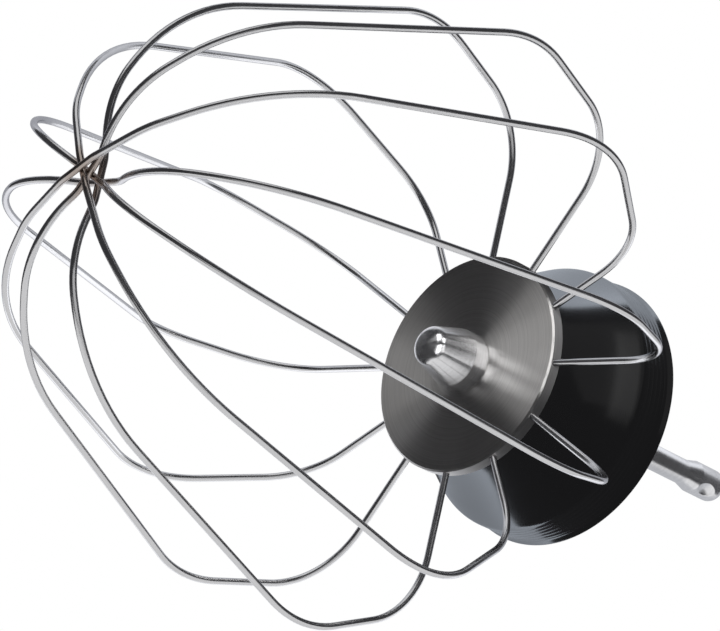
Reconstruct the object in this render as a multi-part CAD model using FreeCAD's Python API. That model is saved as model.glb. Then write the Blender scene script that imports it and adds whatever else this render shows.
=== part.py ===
import FreeCAD, Part
import os
from math import acos, asin, atan2, cos, hypot, pi, radians, sin, sqrt, tan

# Balloon whisk for a stand mixer.
# Six loops of spring wire are held by a thick turned disc. A turned shaft runs through the disc:
# its blunt nose stands inside the wire cage, its drive head goes up into the mixer.
# A hollow splash cap sits on the shaft behind the disc.
# Millimetres. +Z is up the shaft, as the whisk hangs in the mixer, with the cage below.
# The origin is on the shaft's axis, in the middle of the drive head, level with its detent.

V = FreeCAD.Vector

# Drive shaft
head_d = 6.8
head_above = 3.4
head_below = 2.7
head_round = 2.4
neck_length = 3.0
shank_d = 5.3
detent_depth = 0.55
detent_length = 5.0
detent_angle = -78.0
face_drop = 75.0
seat_d = 8.0
nose_d = 12.1
nose_collar = 3.6
nose_length = 12.1
nose_dome = 12.0
nose_dome_d = 5.2
nose_shoulder = 2.0
nose_seam = 0.25
nose_edge = 0.4

# Hub disc
disc_d = 45.0
disc_t = 2.7
disc_bevel = 0.35
seat_clearance = 0.02

# Wire loops
wire_d = 1.4
hole_clearance = 0.05
wire_seat = 7.0
hole_bottom_gap = 0.3
wire_level = 1.2
shoulder_r = 63.5
dome_r = 37.8
crown_r = 15.7
tip_reach = 108.4
dome_drop = 13.6
crossing_half = 4.0
stack_gap = 0.04
elbow_bend = 18.0
shoulder_bend = 23.5
dome_bend = 46.0
crown_bend = 22.0
crossing_bend = 6.0
leg_step = 30.0

# The loops from the outermost crossing at the tip to the innermost. Each has its place round the
# disc in leg steps, its small turn in degrees, how far out its elbow lies, how far below the disc's
# face its shoulder lies, and how far above the tip its crown lies.
LOOPS = [
    {"place": 1, "turn": -0.8, "elbow_r": 44.2, "shoulder": 28.2, "crown_drop": 2.3},
    {"place": 4, "turn": -0.6, "elbow_r": 41.6, "shoulder": 27.4, "crown_drop": 2.7},
    {"place": 0, "turn": 0.9, "elbow_r": 53.0, "shoulder": 32.0, "crown_drop": -0.8},
    {"place": 3, "turn": -0.6, "elbow_r": 52.4, "shoulder": 25.7, "crown_drop": -0.5},
    {"place": 5, "turn": 0.4, "elbow_r": 51.1, "shoulder": 28.4, "crown_drop": 3.1},
    {"place": 2, "turn": 0.5, "elbow_r": 52.6, "shoulder": 25.8, "crown_drop": 1.0},
]

# Splash cap
cap_front_d = 41.4
cap_front_round = 1.6
cap_waist_d = 45.6
cap_waist_rise = 9.3
cap_waist_bend = 45.0
cap_ring_d = 55.5
cap_ring_rise = 19.0
cap_ring_round = 3.0
cap_skirt = 9.0
cap_skirt_d = 55.3
cap_lip = 1.6
cap_lip_bend = 1.5
cap_rim_d = 56.7
cap_rim_round = 0.4
cap_wall = 1.6
cap_boss_d = 15.0
cap_boss_length = 11.0
cap_bore_clearance = 0.05
groove_count = 5
groove_pitch = 1.25
groove_width = 0.55
groove_depth = 0.07
groove_first = 1.5

# Sizes that follow
head_r = head_d / 2
disc_r = disc_d / 2
wire_r = wire_d / 2
hole_r = wire_r + hole_clearance
face_z = -face_drop
disc_back_z = face_z + disc_t
seat_top_z = disc_back_z + cap_boss_length
cap_ring_z = disc_back_z + cap_ring_rise
cap_rim_z = cap_ring_z + cap_skirt
stack_pitch = wire_d + stack_gap
shortest_edge = 1e-6


def corner(before, here, after, radius):
    """Ends and middle of the arc that rounds one corner of an outline in the (r, z) plane."""
    length_in = hypot(before[0] - here[0], before[1] - here[1])
    length_out = hypot(after[0] - here[0], after[1] - here[1])
    u = ((before[0] - here[0]) / length_in, (before[1] - here[1]) / length_in)
    v = ((after[0] - here[0]) / length_out, (after[1] - here[1]) / length_out)
    half_sin = sqrt(max(0.0, (1 + u[0] * v[0] + u[1] * v[1]) / 2))
    half_turn = asin(min(1.0, half_sin))
    tangent = radius * tan(half_turn)
    reach = radius / cos(half_turn) - radius
    middle = (u[0] + v[0], u[1] + v[1])
    size = hypot(middle[0], middle[1])
    start = (here[0] + u[0] * tangent, here[1] + u[1] * tangent)
    apex = (here[0] + middle[0] / size * reach, here[1] + middle[1] / size * reach)
    end = (here[0] + v[0] * tangent, here[1] + v[1] * tangent)
    return start, apex, end


def rounded_edges(points, radii, place):
    """Straight runs joined by tangent arcs. A radius of 0 keeps a corner sharp."""
    edges = []
    at = points[0]
    for i in range(1, len(points) - 1):
        if radii[i] > 0:
            start, apex, end = corner(points[i - 1], points[i], points[i + 1], radii[i])
        else:
            start, apex, end = points[i], None, points[i]
        if hypot(start[0] - at[0], start[1] - at[1]) > shortest_edge:
            edges.append(Part.LineSegment(place(at), place(start)).toShape())
        if apex:
            edges.append(Part.Arc(place(start), place(apex), place(end)).toShape())
        at = end
    if hypot(points[-1][0] - at[0], points[-1][1] - at[1]) > shortest_edge:
        edges.append(Part.LineSegment(place(at), place(points[-1])).toShape())
    return edges


def fitted_radii(points, radii):
    """Bend radii, made smaller where two neighbouring bends would run into each other."""
    tangents = [0.0] * len(points)
    factors = [1.0] * len(points)
    for i in range(1, len(points) - 1):
        if radii[i] > 0:
            start, _, _ = corner(points[i - 1], points[i], points[i + 1], radii[i])
            tangents[i] = hypot(start[0] - points[i][0], start[1] - points[i][1])
    for i in range(len(points) - 1):
        run = hypot(points[i + 1][0] - points[i][0], points[i + 1][1] - points[i][1])
        used = tangents[i] + tangents[i + 1]
        if used > run:
            factors[i] = min(factors[i], run / used)
            factors[i + 1] = min(factors[i + 1], run / used)
    return [r * f for r, f in zip(radii, factors)]


def in_xz(point):
    return V(point[0], 0, point[1])


def turned(outline):
    """Solid of revolution about Z from ((r, z), corner radius) pairs that go once round the section."""
    points = [point for point, _ in outline] + [outline[0][0]]
    radii = fitted_radii(points, [radius for _, radius in outline] + [0])
    section = Part.Face(Part.Wire(rounded_edges(points, radii, in_xz)))
    return section.revolve(V(0, 0, 0), V(0, 0, 1), 360)


def nose_end(tip_z, collar):
    """End of the nose, as ((r, z), radius) pairs: a shallow dome, and a shoulder that runs on into
    the cone, whose wide end is the point collar."""
    slope = asin(nose_dome_d / 2 / nose_dome)
    edge = (nose_dome_d / 2, tip_z + nose_dome * (1 - cos(slope)))
    centre = (edge[0] - nose_shoulder * sin(slope), edge[1] + nose_shoulder * cos(slope))
    away = hypot(collar[0] - centre[0], collar[1] - centre[1])
    # where the line from the collar touches the shoulder's circle
    touch = atan2(collar[1] - centre[1], collar[0] - centre[0]) - acos(nose_shoulder / away)
    tangent = nose_shoulder * tan((touch + pi / 2 - slope) / 2)
    return [
        ((0, tip_z), 0),
        ((nose_dome * tan(slope / 2), tip_z), nose_dome),
        ((edge[0] + tangent * cos(slope), edge[1] + tangent * sin(slope)), nose_shoulder),
    ]


def drive_shaft():
    """One turned rod: nose, seat through disc and cap, shank, conical neck and drive head."""
    shank_r = shank_d / 2
    seat_r = seat_d / 2
    nose_r = nose_d / 2
    collar = (nose_r, face_z - nose_collar)
    top_z = head_above + head_round
    rod = turned([
        *nose_end(face_z - nose_length, collar),
        (collar, nose_edge),
        ((nose_r, face_z - nose_seam), 0),
        ((nose_r - nose_seam, face_z), 0),
        ((seat_r, face_z), 0),
        ((seat_r, seat_top_z), 0),
        ((shank_r, seat_top_z), 0),
        ((shank_r, -head_below - neck_length), 0),
        ((head_r, -head_below), 0),
        ((head_r, top_z), head_round),
        ((0, top_z), 0),
    ])
    ball_r = (detent_length ** 2 / 4 + detent_depth ** 2) / (2 * detent_depth)
    reach = head_r - detent_depth + ball_r
    angle = radians(detent_angle)
    ball = Part.makeSphere(ball_r, V(reach * cos(angle), reach * sin(angle), 0))
    return rod.cut(ball)


def leg_angles(loop):
    start = loop["place"] * leg_step + loop["turn"]
    return start, start + 180


def hub_disc():
    """Turned disc with a bevelled face edge, a bore for the shaft and a hole for each wire end."""
    bore_r = seat_d / 2 + seat_clearance
    disc = turned([
        ((bore_r, face_z), 0),
        ((disc_r - disc_bevel, face_z), 0),
        ((disc_r, face_z + disc_bevel), 0),
        ((disc_r, disc_back_z), 0),
        ((bore_r, disc_back_z), 0),
    ])
    depth = wire_seat + hole_bottom_gap
    for loop in LOOPS:
        for degrees in leg_angles(loop):
            out = V(cos(radians(degrees)), sin(radians(degrees)), 0)
            base = out * (disc_r - depth) + V(0, 0, face_z + wire_level)
            disc = disc.cut(Part.makeCylinder(hole_r, depth + disc_bevel, base, out))
    return disc


def half_loop(loop, rank):
    """Half of a loop's bent centre line, as ((r, z), bend radius) pairs from the disc to the tip."""
    tip = face_z - tip_reach
    crossing = tip + rank * stack_pitch
    return [
        ((disc_r - wire_seat, face_z + wire_level), 0),
        ((loop["elbow_r"], face_z + wire_level), elbow_bend),
        ((shoulder_r, face_z - loop["shoulder"]), shoulder_bend),
        ((dome_r, tip + dome_drop), dome_bend),
        ((crown_r, tip + loop["crown_drop"]), crown_bend),
        ((crossing_half, crossing), crossing_bend),
    ]


def wire_loop(loop, rank):
    """One wire bent to a loop in a plane through the axis, both ends seated in the disc."""
    half = half_loop(loop, rank)
    bends = half + [((-r, z), bend) for (r, z), bend in reversed(half)]
    points = [point for point, _ in bends]
    radii = fitted_radii(points, [bend for _, bend in bends])
    angle = radians(leg_angles(loop)[0])
    out = V(cos(angle), sin(angle), 0)

    def in_plane(point):
        return out * point[0] + V(0, 0, point[1])

    path = Part.Wire(rounded_edges(points, radii, in_plane))
    section = Part.Wire(Part.makeCircle(wire_r, in_plane(points[0]), out))
    return path.makePipeShell([section], True, True)


def cap_side(inset):
    """Side of the cap from its front edge to its rim, moved inwards by inset."""
    return [
        ((cap_front_d / 2 - inset, disc_back_z + inset), cap_front_round),
        ((cap_waist_d / 2 - inset, disc_back_z + cap_waist_rise), cap_waist_bend),
        ((cap_ring_d / 2 - inset, cap_ring_z), cap_ring_round),
        ((cap_skirt_d / 2 - inset, cap_rim_z - cap_lip), cap_lip_bend),
        ((cap_rim_d / 2 - inset, cap_rim_z), cap_rim_round),
    ]


def splash_cap():
    """Hollow bell: flat front on the disc, waisted side, grooved skirt with a small lip, and a boss
    on the shaft's seat."""
    bore_r = seat_d / 2 + cap_bore_clearance
    boss_r = cap_boss_d / 2
    cap = turned([
        ((bore_r, disc_back_z), 0),
        *cap_side(0),
        *reversed(cap_side(cap_wall)),
        ((boss_r, disc_back_z + cap_wall), 0),
        ((boss_r, seat_top_z), 0),
        ((bore_r, seat_top_z), 0),
    ])
    # each fine groove is cut by a ring whose round section dips into the skirt by the groove's depth
    slope = (cap_skirt_d - cap_ring_d) / 2 / (cap_skirt - cap_lip)
    section_r = groove_width ** 2 / 8 / groove_depth + groove_depth / 2
    for i in range(groove_count):
        rise = groove_first + i * groove_pitch
        skirt_r = cap_ring_d / 2 + slope * rise
        ring = Part.makeTorus(skirt_r + section_r - groove_depth, section_r, V(0, 0, cap_ring_z + rise))
        cap = cap.cut(ring)
    return cap


os.makedirs("parts", exist_ok=True)
nodes = {"drive_shaft": drive_shaft(), "hub_disc": hub_disc(), "splash_cap": splash_cap()}
for number, loop in enumerate(LOOPS):
    nodes[f"wire_loop_{number + 1}"] = wire_loop(loop, number)
for name, shape in nodes.items():
    shape.exportStep(f"parts/{name}.step")
    print(name, "volume", round(shape.Volume, 1), "solids", len(shape.Solids), "valid", shape.isValid())
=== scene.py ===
# %% [markdown]
# # A mixer whisk, dressed from its CAD frame
# A balloon whisk has four kinds of pieces: a turned steel shaft, a turned steel disc, a black
# plastic splash cap and six bent wires. Each is either a profile turned round the shaft's axis or a
# circle carried along a bent path, so this lesson needs only those two kinds of surface.
# All sizes are in the frame of the CAD model: Z runs up the shaft, and the origin is in the middle
# of the drive head. Blender counts in metres, so sizes are written as millimetres times MM.

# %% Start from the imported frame
import bmesh
import bpy
import numpy as np
from mathutils import Matrix


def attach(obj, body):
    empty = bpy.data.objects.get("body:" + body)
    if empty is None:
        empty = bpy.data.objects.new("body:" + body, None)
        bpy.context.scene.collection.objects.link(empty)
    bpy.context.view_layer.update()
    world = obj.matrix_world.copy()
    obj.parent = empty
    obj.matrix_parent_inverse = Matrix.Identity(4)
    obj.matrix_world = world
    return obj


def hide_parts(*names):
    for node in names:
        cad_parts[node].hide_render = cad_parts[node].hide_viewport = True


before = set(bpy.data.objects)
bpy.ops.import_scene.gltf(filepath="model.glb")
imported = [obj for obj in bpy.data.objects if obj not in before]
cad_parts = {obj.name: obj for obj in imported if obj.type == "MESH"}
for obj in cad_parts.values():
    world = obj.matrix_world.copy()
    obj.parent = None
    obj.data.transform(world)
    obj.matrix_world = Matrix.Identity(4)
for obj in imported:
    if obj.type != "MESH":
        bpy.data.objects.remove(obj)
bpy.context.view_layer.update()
MM = 0.001
print("CAD nodes:", ", ".join(sorted(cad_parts)))

# %% [markdown]
# ## The camera first
# The photograph was taken with a long lens from below the tip of the whisk. The camera's place and
# its two directions come from a fit to the wires and the disc. A camera looks along its own -Z with
# its own Y up, so a matrix with right, up and backward as its columns turns it the right way.

# %% Camera
camera_place = np.array([-102.3, -635.9, -686.5]) * MM
look = np.array([0.1190, 0.7331, 0.6697])
up_hint = np.array([-0.8347, 0.4391, -0.3324])
right = np.cross(look, up_hint)
right /= np.linalg.norm(right)
up = np.cross(right, look)

camera_data = bpy.data.cameras.new("photo_camera")
camera_data.sensor_width = 36.0
camera_data.lens = 225.0
camera_data.clip_start = 0.05
camera_data.clip_end = 20.0
camera = bpy.data.objects.new("photo_camera", camera_data)
bpy.context.scene.collection.objects.link(camera)
turn = np.eye(4)
turn[:3] = np.column_stack([right, up, -look, camera_place])
camera.matrix_world = Matrix(turn)
bpy.context.scene.camera = camera
print("camera at", np.round(camera_place, 3), "with a lens of", camera_data.lens, "mm")

# %% [markdown]
# ## A bent line
# Wire and turned profiles share one idea: straight runs that are joined by arcs. At a corner where
# the line turns by an angle a, an arc of radius R leaves the run at R tan(a/2) before the corner.
# Working this out once gives the wires' paths and the profiles of everything that is turned.

# %% Straight runs joined by arcs
def bent_line(corners, bends, arc_step=0.06, longest=1e9):
    """Points and directions along straight runs joined by arcs. On an arc, neighbours are at most
    arc_step radians and the length longest apart.
    On an arc, point(t) = centre - R n cos t + R d sin t and direction(t) = d cos t + n sin t,
    where d is the direction of the run that comes in and n points from it to the arc's centre."""
    corners = np.asarray(corners, float)
    runs = np.diff(corners, axis=0)
    lengths = np.hypot(runs[:, 0], runs[:, 1])
    along = runs / lengths[:, None]
    points, directions = [corners[:1]], [along[:1]]
    turns = np.arctan2(along[:-1, 0] * along[1:, 1] - along[:-1, 1] * along[1:, 0],
                       (along[:-1] * along[1:]).sum(1))
    reach = np.asarray(bends, float) * np.tan(np.abs(turns) / 2)
    needed = np.r_[0, reach] + np.r_[reach, 0]
    share = np.minimum(1, lengths / np.maximum(needed, 1e-12))
    fitted = np.asarray(bends, float) * np.minimum(share[:-1], share[1:])
    for here, d, d_next, angle, radius in zip(corners[1:-1], along[:-1], along[1:], turns, fitted):
        if radius <= 0:
            points.append(np.array([here, here]))
            directions.append(np.array([d, d_next]))
            continue
        n = np.sign(angle) * np.array([-d[1], d[0]])
        centre = here - d * radius * np.tan(abs(angle) / 2) + n * radius
        steps = int(abs(angle) * max(1 / arc_step, radius / longest))
        t = np.linspace(0, abs(angle), max(3, steps + 2))[:, None]
        points.append(centre - radius * n * np.cos(t) + radius * d * np.sin(t))
        directions.append(d * np.cos(t) + n * np.sin(t))
    points.append(corners[-1:])
    directions.append(along[-1:])
    return np.concatenate(points), np.concatenate(directions)


# %% [markdown]
# ## From a grid of points to a mesh
# A surface that is a function of two parameters becomes a grid: rows for one, columns for the other.
# Four neighbours make a face. The last column joins the first, and rows that shrink to a point on
# the axis are merged, so that seams and poles are closed.

# %% Grid to mesh
def grid_quads(rows, columns):
    """Corner numbers of every face, and each corner's place (row, column) before it wraps round."""
    i, j = np.meshgrid(np.arange(rows - 1), np.arange(columns), indexing="ij")
    cells = np.stack([np.stack([i, j], -1), np.stack([i, j + 1], -1),
                      np.stack([i + 1, j + 1], -1), np.stack([i + 1, j], -1)], 2).reshape(-1, 4, 2)
    return cells[..., 0] * columns + cells[..., 1] % columns, cells


def make_piece(name, vertices, quads, uv=None, sharp=28.0, merge=1e-7):
    """Mesh object from vertices and quads, with merged poles, outward faces and smooth shading."""
    mesh = bpy.data.meshes.new(name)
    mesh.from_pydata(vertices.tolist(), [], quads.tolist())
    if uv is not None:
        mesh.uv_layers.new(name="along_and_round").data.foreach_set("uv", uv.ravel())
    work = bmesh.new()
    work.from_mesh(mesh)
    bmesh.ops.remove_doubles(work, verts=work.verts, dist=merge)
    bmesh.ops.recalc_face_normals(work, faces=work.faces)
    work.to_mesh(mesh)
    work.free()
    mesh.shade_smooth()
    mesh.set_sharp_from_angle(angle=np.radians(sharp))
    piece = bpy.data.objects.new(name, mesh)
    bpy.context.scene.collection.objects.link(piece)
    print(f"{name}: {len(mesh.vertices)} vertices, {len(mesh.polygons)} faces")
    return piece


def lathe(profile, segments):
    """Turned surface: point (i, j) = (r_i cos t_j, r_i sin t_j, z_i), where t_j = 2 pi j / segments."""
    t = np.linspace(0, 2 * np.pi, segments, endpoint=False)
    r, z = profile[:, :1], profile[:, 1:]
    return np.stack([r * np.cos(t), r * np.sin(t), z + 0 * t], -1)


def resampled(line, step):
    """The same line with a point at least every step, measured along it, and all its own points kept."""
    length = np.r_[0, np.cumsum(np.hypot(*np.diff(line, axis=0).T))]
    at = np.union1d(length, np.arange(0, length[-1], step))
    return np.column_stack([np.interp(at, length, line[:, 0]), np.interp(at, length, line[:, 1])])


# %% [markdown]
# ## Nodes in one line each
# Materials are small networks of nodes. This helper makes one node, sets its plain values and
# connects its inputs, so that a material reads like a list of what happens to the surface.

# %% Node helper
def add(tree, kind, values=None, **settings):
    """New node of a kind. values maps an input's name or number to a number, colour or other output."""
    made = tree.nodes.new(kind)
    for key, value in settings.items():
        setattr(made, key, value)
    for key, value in (values or {}).items():
        if isinstance(value, bpy.types.NodeSocket):
            tree.links.new(value, made.inputs[key])
        else:
            made.inputs[key].default_value = value
    return made


def new_material(name, **plain):
    """Material with one Principled shader whose plain values are set on its own sockets."""
    material = bpy.data.materials.new(name)
    material.use_nodes = True
    tree = material.node_tree
    shader = tree.nodes["Principled BSDF"]
    for key, value in plain.items():
        shader.inputs[key.replace("_", " ")].default_value = value
    return material, tree, shader


def mix_colour(tree, share, first, second):
    """Colour that goes from first to second as share goes from 0 to 1."""
    return add(tree, "ShaderNodeMix", {0: share, 6: first, 7: second}, data_type="RGBA").outputs[2]


def remap(tree, value, low, high, to_low=0.0, to_high=1.0):
    """Smooth step: value from low to high becomes to_low to to_high."""
    return add(tree, "ShaderNodeMapRange", {0: value, 1: low, 2: high, 3: to_low, 4: to_high},
               interpolation_type="SMOOTHSTEP").outputs[0]


def maths(tree, operation, *values):
    """One Math node."""
    return add(tree, "ShaderNodeMath", dict(enumerate(values)), operation=operation).outputs[0]


# %% [markdown]
# ## Where a point lies on the whisk
# Turning leaves its marks in circles, so the metal's finish depends on the distance from the axis.
# Object coordinates give a point's place in metres. The length of its X and Y parts is that distance.

# %% Distance from the axis
def axis_place(tree):
    """Outputs with the distance from the shaft's axis, the height Z, and the point itself, in metres."""
    point = add(tree, "ShaderNodeTexCoord").outputs["Object"]
    parts = add(tree, "ShaderNodeSeparateXYZ", {0: point}).outputs
    flat = add(tree, "ShaderNodeCombineXYZ", {0: parts[0], 1: parts[1]}).outputs[0]
    radius = add(tree, "ShaderNodeVectorMath", {0: flat}, operation="LENGTH").outputs["Value"]
    return radius, parts[2], point


# %% [markdown]
# ## Wire
# The loops are drawn stainless wire, polished bright: each shows the white ground as thin lines
# along its sides and the dark room as a line in between. Drawing leaves faint marks lengthwise, so
# the finish follows the wire's own UV map, where U is metres along it and V is once round. At the
# tip, the heat that joined the crossing wires has left them straw brown.

# %% Wire material
CROSSING_Z = -181.0


def wire_material():
    """Polished wire: lengthwise marks from noise that is stretched along U, and a brown tip."""
    material, tree, shader = new_material("drawn_wire", Metallic=1.0,
                                          Specular_Tint=(0.55, 0.55, 0.57, 1.0))
    uv = add(tree, "ShaderNodeUVMap", uv_map="along_and_round").outputs[0]
    stretched = add(tree, "ShaderNodeMapping", {"Vector": uv, "Scale": (90.0, 14.0, 1.0)}).outputs[0]
    marks = add(tree, "ShaderNodeTexNoise", {"Vector": stretched, "Scale": 1.0, "Detail": 4.0}).outputs[0]
    point = add(tree, "ShaderNodeTexCoord").outputs["Object"]
    smudge = add(tree, "ShaderNodeTexNoise", {"Vector": point, "Scale": 140.0, "Detail": 3.0}).outputs[0]
    tip = add(tree, "ShaderNodeVectorMath", {0: point, 1: (0, 0, CROSSING_Z * MM)},
              operation="DISTANCE").outputs["Value"]
    patchy = maths(tree, "ADD", tip, maths(tree, "MULTIPLY", smudge, 9 * MM))
    brown = remap(tree, patchy, 7 * MM, 13 * MM, 0.6, 0.0)
    steel = mix_colour(tree, marks, (0.60, 0.60, 0.61, 1), (0.80, 0.80, 0.81, 1))
    tinted = mix_colour(tree, brown, steel, (0.30, 0.20, 0.13, 1))
    tree.links.new(tinted, shader.inputs["Base Color"])
    rough = remap(tree, smudge, 0.3, 0.7, 0.14, 0.24)
    tree.links.new(rough, shader.inputs["Roughness"])
    bump = add(tree, "ShaderNodeBump", {"Height": marks, "Strength": 0.25, "Distance": 0.03 * MM})
    tree.links.new(bump.outputs[0], shader.inputs["Normal"])
    return material


# %% [markdown]
# ## The six loops
# Each loop lies in a plane through the shaft's axis. Its path starts in the disc's hole, runs
# straight out, turns down over the shoulder, and comes round the dome to the crossing at the tip,
# where the six loops lie in a stack. The surface is a circle carried along that path.

# %% Wire paths and tubes
WIRE_R = 0.7
FACE_Z = -75.0
WIRE_Z = FACE_Z + 1.2
TIP_Z = FACE_Z - 108.4
STACK = 1.44        # rise from one crossing wire to the next
END_R = 15.5        # where a wire ends in the disc
SHOULDER_R = 63.5
DOME_R, DOME_RISE = 37.8, 13.6
CROWN_R = 15.7
CROSSING_R = 4.0
LOOP_BENDS = [18.0, 23.5, 46.0, 22.0, 6.0]
LEG_STEP = 30
ROW_STEP = 4.0
# place in steps of 30 degrees, small turn, elbow radius, shoulder drop, crown rise above the tip
loops = [
    (1, -0.8, 44.2, 28.2, 2.3),
    (4, -0.6, 41.6, 27.4, 2.7),
    (0, 0.9, 53.0, 32.0, -0.8),
    (3, -0.6, 52.4, 25.7, -0.5),
    (5, 0.4, 51.1, 28.4, 3.1),
    (2, 0.5, 52.6, 25.8, 1.0),
]


def loop_line(rank, elbow_r, shoulder, crown):
    """Centre line of a whole loop in its plane, as (distance from the axis, height) in millimetres."""
    half = [(END_R, WIRE_Z), (elbow_r, WIRE_Z), (SHOULDER_R, FACE_Z - shoulder),
            (DOME_R, TIP_Z + DOME_RISE), (CROWN_R, TIP_Z + crown), (CROSSING_R, TIP_Z + rank * STACK)]
    corners = half + [(-r, z) for r, z in reversed(half)]
    return bent_line(corners, LOOP_BENDS + LOOP_BENDS[::-1])


def tube(points, directions, azimuth, radius, columns=20):
    """Circle carried along a path in a plane through the axis:
    point (i, j) = path_i + R (cos v_j n_i + sin v_j b), where n is square to the path in its plane
    and b is square to the plane. Two rows of radius 0 close the ends."""
    out = np.array([np.cos(azimuth), np.sin(azimuth), 0])
    side = np.array([-np.sin(azimuth), np.cos(azimuth), 0])
    centre = points[:, :1] * out + points[:, 1:] * np.array([0, 0, 1.0])
    normal = -directions[:, 1:] * out + directions[:, :1] * np.array([0, 0, 1.0])
    v = np.linspace(0, 2 * np.pi, columns, endpoint=False)[None, :, None]
    ring = normal[:, None] * np.cos(v) + side * np.sin(v)
    rows = np.r_[0, np.arange(len(points)), len(points) - 1]
    radii = np.r_[0, np.full(len(points), radius), 0]
    length = np.r_[0, np.cumsum(np.linalg.norm(np.diff(centre, axis=0), axis=1))]
    return centre[rows, None] + radii[:, None, None] * ring[rows], length[rows]


def path_resampled(points, directions, step):
    """Path with a point at least every step, so that the marks along a straight run stay even."""
    length = np.r_[0, np.cumsum(np.hypot(*np.diff(points, axis=0).T))]
    at = np.union1d(length, np.arange(0, length[-1], step))
    new = [np.column_stack([np.interp(at, length, a[:, 0]), np.interp(at, length, a[:, 1])])
           for a in (points, directions)]
    return new[0], new[1] / np.hypot(new[1][:, 0], new[1][:, 1])[:, None]


wire_finish = wire_material()
wires = []
for rank, (place, small_turn, elbow_r, shoulder, crown) in enumerate(loops):
    line, heading = path_resampled(*loop_line(rank, elbow_r, shoulder, crown), ROW_STEP)
    grid, travelled = tube(line, heading, np.radians(LEG_STEP * place + small_turn), WIRE_R)
    quads, cells = grid_quads(*grid.shape[:2])
    uv = np.stack([travelled[cells[..., 0]] * MM, cells[..., 1] / grid.shape[1]], -1)
    wire = make_piece(f"whisk_wire_{rank + 1}", grid.reshape(-1, 3) * MM, quads, uv)
    wire.data.materials.append(wire_finish)
    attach(wire, "root")
    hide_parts(f"wire_loop_{rank + 1}")
    wires.append(wire)
print(len(wires), "loops")

# %% [markdown]
# ## Turned steel
# A lathe tool leaves fine rings. Light that falls on them spreads across the rings and not along
# them, which gives a disc its bright and dark sectors. Anisotropy in the shader makes that spread,
# with a tangent that runs round the axis, and fine noise in the distance from the axis draws the
# single rings that the eye can see.

# %% Turned steel material
def turned_material(name, colour, rough, rings, spread, lean=0.0):
    """Steel with rings: one-dimensional noise of the distance from the axis, coarse and fine.
    A tool that feeds outwards cuts rings like the teeth of a saw, and lean is the slope of their long
    side: the height falls by lean times the distance from the axis."""
    material, tree, shader = new_material(name, Metallic=1.0, Anisotropic=spread, Anisotropic_Rotation=0.25)
    radius, height, point = axis_place(tree)
    along = maths(tree, "ADD", radius, height)
    fine = add(tree, "ShaderNodeTexNoise", {"W": along, "Scale": rings, "Detail": 3.0},
               noise_dimensions="1D").outputs[0]
    coarse = add(tree, "ShaderNodeTexNoise", {"W": along, "Scale": rings / 5, "Detail": 1.0},
                 noise_dimensions="1D").outputs[0]
    cloud = add(tree, "ShaderNodeTexNoise", {"Vector": point, "Scale": 90.0, "Detail": 4.0}).outputs[0]
    slow = maths(tree, "ADD", maths(tree, "MULTIPLY", coarse, 0.10), maths(tree, "MULTIPLY", cloud, 0.30))
    level = maths(tree, "ADD", maths(tree, "MULTIPLY", fine, 0.6), slow)
    dark = tuple(c * 0.88 for c in colour) + (1.0,)
    light = tuple(min(1.0, c * 1.10) for c in colour) + (1.0,)
    tree.links.new(mix_colour(tree, remap(tree, level, 0.3, 0.7), dark, light), shader.inputs["Base Color"])
    tree.links.new(remap(tree, level, 0.3, 0.7, rough * 0.93, rough * 1.08), shader.inputs["Roughness"])
    bump = add(tree, "ShaderNodeBump", {"Height": fine, "Strength": 0.15, "Distance": 0.02 * MM})
    teeth = add(tree, "ShaderNodeBump",
                {"Height": radius, "Strength": 1.0, "Distance": lean, "Normal": bump.outputs[0]}, invert=True)
    tree.links.new(teeth.outputs[0], shader.inputs["Normal"])
    tangent = add(tree, "ShaderNodeTangent", direction_type="RADIAL", axis="Z")
    tree.links.new(tangent.outputs[0], shader.inputs["Tangent"])
    return material


# %% [markdown]
# ## The hub disc
# The disc is a thick turned plate with a bevelled edge on its face and a round hole in its rim for
# each wire end. The face, the back and the bore are one lathe surface. The rim is made of twelve
# patches, one per hole: each goes from the hole's circle to the edge of its sector, so that the
# faces flow round the hole and the patches join the lathe surface point by point.

# %% Disc surface
DISC_R = 22.5
DISC_BACK = FACE_Z + 2.7
BEVEL = 0.35
BORE_R = 4.02
HOLE_R = 0.75
HOLE_DEPTH = 7.3
SECTOR_STEPS = 12
RIM_STEPS = 4
BLEND_STEPS = 6


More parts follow.
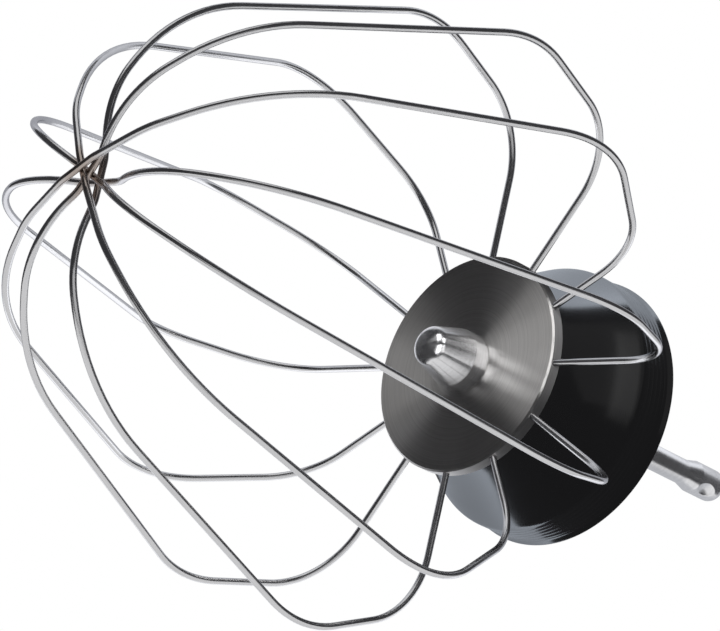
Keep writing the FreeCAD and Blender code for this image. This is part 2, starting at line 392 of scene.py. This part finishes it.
def rim_patch(middle, hole_at):
    """One sector of the rim with its hole. Row 0 is the hole's floor, then its mouth, then blends
    (1 - t) mouth + t edge up to the sector's edge. Columns go once round."""
    half = np.radians(LEG_STEP / 2)
    across = np.linspace(-half, half, SECTOR_STEPS + 1)
    rise = np.linspace(FACE_Z + BEVEL, DISC_BACK, RIM_STEPS + 1)
    edge = np.concatenate([
        np.column_stack([across[:-1], np.full(SECTOR_STEPS, rise[0])]),
        np.column_stack([np.full(RIM_STEPS, half), rise[:-1]]),
        np.column_stack([across[:0:-1], np.full(SECTOR_STEPS, rise[-1])]),
        np.column_stack([np.full(RIM_STEPS, -half), rise[:0:-1]]),
    ])
    offset = hole_at - middle
    around = np.arctan2(edge[:, 1] - WIRE_Z, (edge[:, 0] - offset) * DISC_R)
    sideways, height = HOLE_R * np.cos(around), WIRE_Z + HOLE_R * np.sin(around)
    mouth = np.column_stack([offset + np.arcsin(sideways / DISC_R), height])
    t = (np.linspace(0, 1, BLEND_STEPS) ** 1.5)[:, None, None]
    skin = (1 - t) * mouth + t * edge
    angle = skin[..., 0] + middle
    rim = np.stack([DISC_R * np.cos(angle), DISC_R * np.sin(angle), skin[..., 1]], -1)
    out = np.array([np.cos(hole_at), np.sin(hole_at), 0])
    side = np.array([-np.sin(hole_at), np.cos(hole_at), 0])
    floor = (DISC_R - HOLE_DEPTH) * out + sideways[:, None] * side + height[:, None] * np.array([0, 0, 1.0])
    heart = np.tile((DISC_R - HOLE_DEPTH) * out + np.array([0, 0, WIRE_Z]), (len(edge), 1))
    return np.concatenate([heart[None], floor[None], rim])


plate = np.array([(DISC_R, DISC_BACK), (BORE_R, DISC_BACK), (BORE_R, FACE_Z), (DISC_R - BEVEL, FACE_Z),
                  (DISC_R, FACE_Z + BEVEL)])
grids = [lathe(plate, 12 * SECTOR_STEPS)]
for place, small_turn, *_ in loops:
    for half_turn in (0, 180):
        middle = np.radians(LEG_STEP * place + half_turn)
        grids.append(rim_patch(middle, middle + np.radians(small_turn)))
vertices, quads, first = [], [], 0
for grid in grids:
    vertices.append(grid.reshape(-1, 3) * MM)
    quads.append(grid_quads(*grid.shape[:2])[0] + first)
    first += len(vertices[-1])
disc = make_piece("turned_disc", np.concatenate(vertices), np.concatenate(quads), merge=1e-6)
disc.data.materials.append(turned_material("turned_face", (0.56, 0.55, 0.54), 0.30, 3400.0, 1.0, lean=0.035))
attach(disc, "root")
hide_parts("hub_disc")

# %% [markdown]
# ## The drive shaft
# One rod makes the blunt nose inside the cage, the seat that is hidden in the disc and the cap, the
# shank, the conical neck and the drive head. The head has an oval flat spot for the mixer's spring.
# A ball that dips into the head makes it: along each ray from the axis, the surface is where the
# profile or the ball comes first.

# %% Shaft surface
SEAT_TOP = -61.3
HEAD_R = 3.4
HEAD_BOTTOM = -2.7
DETENT_DEPTH = 0.55
DETENT_LENGTH = 5.0
DETENT_ANGLE = np.radians(-78)
ROUND_STEPS = 192
# nose and collar, then the seat in the disc and the cap, then shank, neck and head
profile = [(0, -87.1), (1.3156, -87.1), (3.7600, -86.5575), (6.05, -78.6), (6.05, -75.25), (5.8, -75.0),
           (4.0, -75.0), (4.0, SEAT_TOP), (2.65, SEAT_TOP),
           (2.65, -5.7), (HEAD_R, HEAD_BOTTOM), (HEAD_R, 5.8), (0, 5.8)]
bends = [12.0, 2.0, 0.4, 0, 0, 0, 0, 0, 0, 0, 2.4]
shaft_line, _ = bent_line(profile, bends, arc_step=0.02)
below = shaft_line[shaft_line[:, 1] < HEAD_BOTTOM]
head = resampled(shaft_line[shaft_line[:, 1] >= HEAD_BOTTOM], 0.16)
grid = lathe(np.concatenate([resampled(below, 3.0), head]), ROUND_STEPS)

BALL_R = (DETENT_LENGTH ** 2 / 4 + DETENT_DEPTH ** 2) / (2 * DETENT_DEPTH)
ball_centre = (HEAD_R - DETENT_DEPTH + BALL_R) * np.array([np.cos(DETENT_ANGLE), np.sin(DETENT_ANGLE)])
radius = np.hypot(grid[..., 0], grid[..., 1])
ray = grid[..., :2] / np.maximum(radius, 1e-9)[..., None]
towards = ray @ ball_centre
inside = towards ** 2 - ball_centre @ ball_centre - grid[..., 2] ** 2 + BALL_R ** 2
hit = np.where((inside > 0) & (towards > 0) & (radius > 1), towards - np.sqrt(np.maximum(inside, 0)), radius)
grid[..., :2] = ray * np.minimum(radius, hit)[..., None]
print("deepest point of the flat spot:", round(float((radius - np.minimum(radius, hit)).max()), 3), "mm")

shaft = make_piece("turned_shaft", grid.reshape(-1, 3) * MM, grid_quads(*grid.shape[:2])[0])
shaft.data.materials.append(turned_material("satin_shaft", (0.80, 0.80, 0.81), 0.22, 3400.0, 0.9))
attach(shaft, "root")
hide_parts("drive_shaft")

# %% [markdown]
# ## The splash cap
# The cap is a glossy black bell: a flat front on the disc, a waisted side, a soft ring edge and a
# skirt with fine grooves. It is hollow, with a boss round the shaft. The grooves are part of the
# profile: near each groove's height the radius is smaller by the depth of a small circle.

# %% Cap surface
CAP_WALL = 1.6
CAP_BORE_R = 4.05
BOSS_R = 7.5
RING_Z = DISC_BACK + 19.0
GROOVE_WIDTH = 0.55
GROOVE_DEPTH = 0.07
GROOVE_PITCH = 1.25
GROOVE_HEIGHTS = RING_Z + 1.5 + GROOVE_PITCH * np.arange(5)
GROOVE_R = GROOVE_WIDTH ** 2 / 8 / GROOVE_DEPTH + GROOVE_DEPTH / 2


def cap_side(inset):
    """Side of the cap from its front edge to its rim, as corners and bends, moved inwards by inset."""
    corners = [(20.7 - inset, DISC_BACK + inset), (22.8 - inset, DISC_BACK + 9.3), (27.75 - inset, RING_Z),
               (27.65 - inset, RING_Z + 7.4), (28.35 - inset, RING_Z + 9.0)]
    return corners, [1.6, 45.0, 3.0, 1.5, 0.4]


outer, outer_bends = cap_side(0)
inner, inner_bends = cap_side(CAP_WALL)
bore_edge = (CAP_BORE_R, DISC_BACK)
boss = [(BOSS_R, DISC_BACK + CAP_WALL), (BOSS_R, SEAT_TOP), (CAP_BORE_R, SEAT_TOP)]
corners = [bore_edge] + outer + inner[::-1] + boss + [bore_edge]
cap_bends = outer_bends + inner_bends[::-1] + [0, 0, 0]
cap_line, _ = bent_line(corners, cap_bends, arc_step=0.08, longest=0.45)
cap_line = resampled(cap_line, 0.6)
skirt = (cap_line[:, 0] > 27.0) & (cap_line[:, 1] > RING_Z) & (cap_line[:, 1] < RING_Z + 7.2)
first, last = np.flatnonzero(skirt)[[0, -1]]
fine = resampled(cap_line[first:last + 1], 0.08)
dz = np.abs(fine[:, 1, None] - GROOVE_HEIGHTS).min(1)
fine[:, 0] -= np.maximum(0, np.sqrt(np.maximum(0, GROOVE_R ** 2 - dz ** 2)) - (GROOVE_R - GROOVE_DEPTH))
cap_line = np.concatenate([cap_line[:first], fine, cap_line[last + 1:]])
grid = lathe(cap_line, ROUND_STEPS)
cap = make_piece("gloss_cap", grid.reshape(-1, 3) * MM, grid_quads(*grid.shape[:2])[0], sharp=40.0)


# %% [markdown]
# ## Black plastic
# The cap is a glossy moulding: almost black, with a thin even gloss. Real ones carry a little dust
# and the faint waviness of a moulded skin, which keeps long reflections from looking ruled.

# %% Plastic material
def plastic_material():
    """Gloss black with faint waviness and specks of dust. The index of refraction, 2.3, is above that
    of a real moulding (about 1.5), for reflections as bright as in the photograph."""
    material, tree, shader = new_material("gloss_black", IOR=2.3)
    point = add(tree, "ShaderNodeTexCoord").outputs["Object"]
    wave = add(tree, "ShaderNodeTexNoise", {"Vector": point, "Scale": 60.0, "Detail": 2.0}).outputs[0]
    dust = add(tree, "ShaderNodeTexNoise", {"Vector": point, "Scale": 2600.0, "Detail": 2.0}).outputs[0]
    speck = remap(tree, dust, 0.74, 0.80)
    tree.links.new(mix_colour(tree, speck, (0.010, 0.010, 0.011, 1), (0.10, 0.10, 0.10, 1)),
                   shader.inputs["Base Color"])
    tree.links.new(remap(tree, wave, 0.3, 0.7, 0.13, 0.18), shader.inputs["Roughness"])
    bump = add(tree, "ShaderNodeBump", {"Height": wave, "Strength": 0.15, "Distance": 0.05 * MM})
    tree.links.new(bump.outputs[0], shader.inputs["Normal"])
    return material


cap.data.materials.append(plastic_material())
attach(cap, "root")
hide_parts("splash_cap")

# %% [markdown]
# ## The room
# Metal looks like what it mirrors. The photograph's wires mirror a dark room with a white ground
# close behind the whisk. The world is dark, and white only to the camera and to rays that pass
# through clear pieces. White for mirrored rays too would wash out the steel and the black cap.

# %% World
world = bpy.data.worlds.new("studio")
bpy.context.scene.world = world
world.use_nodes = True
sky = world.node_tree
sky.nodes.clear()
path = add(sky, "ShaderNodeLightPath").outputs
clear = maths(sky, "MAXIMUM", path["Is Camera Ray"], path["Is Transmission Ray"])
seen = mix_colour(sky, clear, (0.05, 0.05, 0.053, 1), (1, 1, 1, 1))
background = add(sky, "ShaderNodeBackground", {"Color": seen, "Strength": 1.0})
add(sky, "ShaderNodeOutputWorld", {"Surface": background.outputs[0]})
print("world: dark to mirrors, white to the camera")

# %% [markdown]
# ## Lamps
# Each light is an area lamp. Its power is its brightness times pi times its area, so the brightness
# is what a mirror shows. Places are counted in millimetres from the middle of the disc's face, along
# the camera's right, up and look. The camera doesn't see the lamps. A lamp can be linked to the
# pieces that it lights, as a photographer keeps light off the others with black flags.

# %% Lamp helpers
disc_middle = np.array([0, 0, FACE_Z]) * MM


def in_view(rightward, upward, forward):
    """Point in millimetres from the middle of the disc's face along the camera's right, up and look."""
    return disc_middle + (rightward * right + upward * up + forward * look) * MM


def lamp(name, centre, towards, width, height, brightness, lights_only=(), along=right):
    """Area lamp at a point, turned towards another, with its width along a given direction."""
    data = bpy.data.lights.new(name, "AREA")
    data.shape = "RECTANGLE"
    data.size, data.size_y = width * MM, height * MM
    data.energy = brightness * np.pi * data.size * data.size_y
    made = bpy.data.objects.new(name, data)
    bpy.context.scene.collection.objects.link(made)
    back = centre - towards
    back /= np.linalg.norm(back)
    tall = np.cross(along, back)
    tall /= np.linalg.norm(tall)
    placed = np.eye(4)
    placed[:3] = np.column_stack([np.cross(tall, back), tall, back, centre])
    made.matrix_world = Matrix(placed)
    made.visible_camera = False
    if lights_only:
        linked = bpy.data.collections.new(name + "_lights")
        for piece in lights_only:
            linked.objects.link(piece)
        made.light_linking.receiver_collection = linked
    return made


def graded(made, low, high, colour):
    """Brightness of a lamp that goes from its lower edge to its upper edge, in one colour."""
    made.data.use_nodes = True
    tree = made.data.node_tree
    tree.nodes.clear()
    place = add(tree, "ShaderNodeNewGeometry").outputs["Parametric"]
    rise = add(tree, "ShaderNodeSeparateXYZ", {0: place}).outputs[1]
    level = add(tree, "ShaderNodeMapRange", {0: rise, 3: low, 4: high}).outputs[0]
    emission = add(tree, "ShaderNodeEmission", {"Color": colour, "Strength": level})
    add(tree, "ShaderNodeOutputLight", {"Surface": emission.outputs[0]})


# %% [markdown]
# ## The white ground that the pieces mirror
# Upright sheets of light just behind the disc stand for the white ground. Each kind of piece has
# its own, with a brightness that goes from the lower edge to the upper edge.

# %% White sheets
SHEET_FORWARD = 62
# name, left and right edge, lower and upper edge, brightness at those two, pieces that it lights
sheets = [
    ("low_sheet", (-180, 110), (-140, -10), (0.85, 0.65), wires),
    ("high_sheet", (-180, 110), (-10, 200), (0.6, 0.8), wires),
    ("disc_sheet", (-142, 95), (-140, -10), (0.45, 1.5), [disc]),
    ("shaft_low_sheet", (-85, 95), (-140, -10), (0.4, 0.6), [shaft]),
    ("shaft_high_sheet", (-85, 95), (-10, 200), (1.1, 0.4), [shaft]),
    ("cap_low_sheet", (-150, 15), (-200, -30), (1.6, 0.42), [cap]),
    ("cap_high_sheet", (-150, 100), (10, 220), (0.38, 2.8), [cap]),
    ("rim_sheet", (95, 330), (-140, 140), (0.4, 0.4), [disc]),
]
for name, (left, rightmost), (low, high), (near, far), lit in sheets:
    middle = in_view((left + rightmost) / 2, (low + high) / 2, SHEET_FORWARD)
    colour = (0.86, 0.94, 1.06, 1) if lit == [cap] else (0.95, 0.97, 1.02, 1)
    graded(lamp(name, middle, middle - look, rightmost - left, high - low, 1.0, lit), near, far, colour)
print(len(sheets), "white sheets")

# %% [markdown]
# ## Lights for single pieces
# The wires have a wide light below, a soft one in front and a small box above. The shaft has a long
# light below, and four window panes that its nose mirrors. The edge light draws the disc's rim, and
# two faint lights at the side give the cap its reflection.

# %% Lights
lamp("long_light", in_view(-20, -400, -120), in_view(-20, 0, 0), 800, 520, 0.85, [shaft])
lamp("table_light", in_view(0, -250, -100), in_view(0, 0, -100), 1800, 1500, 0.75, wires)
lamp("front_light", in_view(130, 0, -490), in_view(0, 0, 0), 650, 240, 0.5, wires)
lamp("small_box", in_view(-60, 500, -40), in_view(0, 0, 0), 400, 400, 0.7, wires)

PANE_DISTANCE = 400
# direction along right, up and look; width and height as shares of the distance; brightness
panes = [
    ((-0.35, 0.83, -0.43), (0.60, 0.42), 3.0),
    ((0.45, 0.68, -0.58), (0.40, 0.42), 3.0),
    ((-0.22, 0.15, -0.96), (0.65, 0.65), 3.0),
    ((0.58, 0.00, -0.82), (0.40, 0.70), 1.6),
]
for number, (direction, (width, height), brightness) in enumerate(panes):
    lamp(f"pane_{number + 1}", in_view(*(PANE_DISTANCE * d for d in direction)), in_view(0, 0, 0),
         PANE_DISTANCE * width, PANE_DISTANCE * height, brightness, [shaft])

lamp("edge_light", in_view(28, 260, -300), in_view(0, 0, 0), 160, 560, 4.0, [disc])
lamp("side_box", in_view(296, 190, -150), in_view(0, 0, 0), 250, 520, 0.04, [cap])
lamp("ring_light", in_view(260, 180, -220), in_view(0, 0, 0), 45, 520, 0.3, [cap])
print(len(panes), "panes and", len(bpy.data.lights) - len(panes), "other lamps so far")

# %% [markdown]
# ## The disc's window
# Rings catch a light in two opposite sectors when a corner of the light lies where the flat face
# mirrors the camera. A square window has that corner there, with a small square left out of it so
# that the sectors have clear edges. Two lamps make the L that is left.

# %% Disc window
WINDOW_DISTANCE = 250
# from and to along side_1 and along side_2, as shares of the distance
window_parts = [(0.2, 1.2, 0.0, 0.2), (0.0, 1.2, 0.2, 1.2)]
mirrored = look * np.array([1, 1, -1])
side_1 = np.array([-0.977, -0.034, -0.211])
side_2 = np.array([0.120, -0.680, -0.723])
for number, (from_1, to_1, from_2, to_2) in enumerate(window_parts):
    aim = mirrored + (from_1 + to_1) / 2 * side_1 + (from_2 + to_2) / 2 * side_2
    middle = disc_middle + aim * WINDOW_DISTANCE * MM
    lamp(f"disc_window_{number + 1}", middle, middle - mirrored, WINDOW_DISTANCE * (to_1 - from_1),
         WINDOW_DISTANCE * (to_2 - from_2), 0.72, [disc], side_1)
print(len(window_parts), "parts of the window")

# %% [markdown]
# ## Floor
# The floor is pale, far below the whisk, and white to the camera and through clear pieces.

# %% Floor
bpy.ops.mesh.primitive_plane_add(size=6.0, location=(0, 0, -3.0))
floor = bpy.context.object
floor.name = "studio_floor"
floor_material, tree, shader = new_material("pale_floor", Roughness=0.7)
light_path = add(tree, "ShaderNodeLightPath").outputs
shader.inputs["Base Color"].default_value = (0.80, 0.80, 0.80, 1)
glow = add(tree, "ShaderNodeEmission", {"Color": (1, 1, 1, 1), "Strength": 1.0})
clear = maths(tree, "MAXIMUM", light_path["Is Camera Ray"], light_path["Is Transmission Ray"])
blend = add(tree, "ShaderNodeMixShader", {0: clear, 1: shader.outputs[0], 2: glow.outputs[0]})
tree.links.new(blend.outputs[0], tree.nodes["Material Output"].inputs["Surface"])
floor.data.materials.append(floor_material)
print("floor at", floor.location.z, "m")

# %% [markdown]
# ## Finish
# The view transform is Standard, so that a colour shows as it is written.

# %% View
bpy.context.scene.view_settings.view_transform = "Standard"
